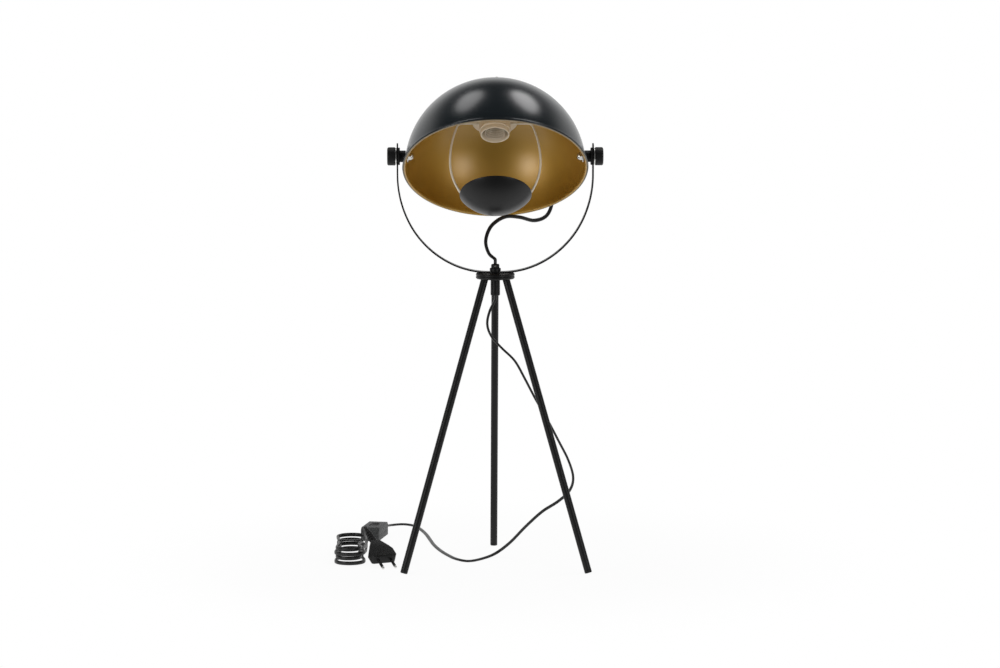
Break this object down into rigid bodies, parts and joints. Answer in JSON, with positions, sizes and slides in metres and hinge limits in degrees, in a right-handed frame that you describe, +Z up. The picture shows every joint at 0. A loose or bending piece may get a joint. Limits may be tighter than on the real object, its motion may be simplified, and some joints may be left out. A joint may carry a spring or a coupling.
{
  "type": "table lamp",
  "caption": "Tripod table lamp with a hemispherical shade that tilts in a U-shaped yoke, an inner reflector dish on a wire guard, and a corded switch and plug.",
  "frame": {"origin": "on the surface the feet stand on, under the middle of the lamp's own bounding box, cord left out", "axes": "+Z up, -Y the way the shade faces, +X to the right seen from the front"},
  "size_m": [0.3718, 0.4324, 0.675],
  "materials": {
    "shade_enamel": "gloss black enamel outside, satin gold inside",
    "black_steel": "satin black powder coat",
    "black_plastic": "satin black",
    "switch_plastic": "satin dark grey",
    "cord_jacket": "flexible black jacket",
    "cream_plastic": "cream, semi-gloss",
    "ceramic": "white ceramic body",
    "wire_enamel": "cream enamel on steel wire",
    "plated_steel": "zinc plated",
    "brass": "turned brass"
  },
  "bodies": {
    "tripod": {"hub_plate": "black_steel", "hub_nipple": "plated_steel", "hub_nut": "black_steel", "swivel_washer": "plated_steel", "hub_grip": "black_plastic", "hub_screw": "plated_steel", "hub_sleeve": "black_steel", "inner_cord": "cord_jacket", "leg_front_left": "black_steel", "leg_front_right": "black_steel", "leg_rear": "black_steel", "leg_studs": "plated_steel", "foot_caps": "black_plastic", "lower_cord": "cord_jacket", "switch_base": "switch_plastic", "switch_cover": "switch_plastic", "switch_screws": "plated_steel", "cord_hank": "cord_jacket", "cord_tie": "black_plastic", "plug_body": "black_plastic", "plug_pins": "plated_steel"},
    "yoke": {"yoke": "black_steel", "upper_cord": "cord_jacket"},
    "shade": {"shade_shell": "shade_enamel", "crown_nut": "black_steel", "crown_grip": "black_plastic", "crown_screw": "plated_steel", "crown_nipple": "plated_steel", "holder_cord": "cord_jacket", "holder_lock_nut": "plated_steel", "holder_cap": "cream_plastic", "holder_skirt": "cream_plastic", "holder_shade_ring": "cream_plastic", "holder_insert": "ceramic", "lamp_thread_shell": "brass", "centre_contact": "brass", "guard_wire": "wire_enamel", "reflector_dish": "black_steel", "pivot_studs": "plated_steel", "pivot_seats": "plated_steel", "pivot_nuts": "plated_steel", "pivot_spacers": "black_plastic", "inner_washers": "black_plastic", "outer_washers": "plated_steel"},
    "left_knob": {"knob_left": "black_plastic"},
    "right_knob": {"knob_right": "black_plastic"},
    "rocker": {"switch_rocker": "black_plastic"}
  },
  "joints": [
    {"name": "head_swivel", "type": "hinge", "parent": "tripod", "child": "yoke", "pos_m": [0, -0.0177, 0.406], "axis": [0, 0, 1], "range_deg": [-90, 90]},
    {"name": "shade_tilt", "type": "hinge", "parent": "yoke", "child": "shade", "pos_m": [0, -0.0177, 0.56635], "axis": [1, 0, 0], "range_deg": [-60, 34.6], "deforming": ["upper_cord"]},
    {"name": "left_knob_turn", "type": "hinge", "parent": "shade", "child": "left_knob", "pos_m": [-0.142, -0.0177, 0.56635], "axis": [-1, 0, 0], "range_deg": [0, 360]},
    {"name": "right_knob_turn", "type": "hinge", "parent": "shade", "child": "right_knob", "pos_m": [0.142, -0.0177, 0.56635], "axis": [1, 0, 0], "range_deg": [0, 360]},
    {"name": "switch_toggle", "type": "hinge", "parent": "tripod", "child": "rocker", "pos_m": [-0.173, 0.1943, 0.014], "axis": [0.9799, -0.1994, 0], "range_deg": [-12, 0]}
  ]
}
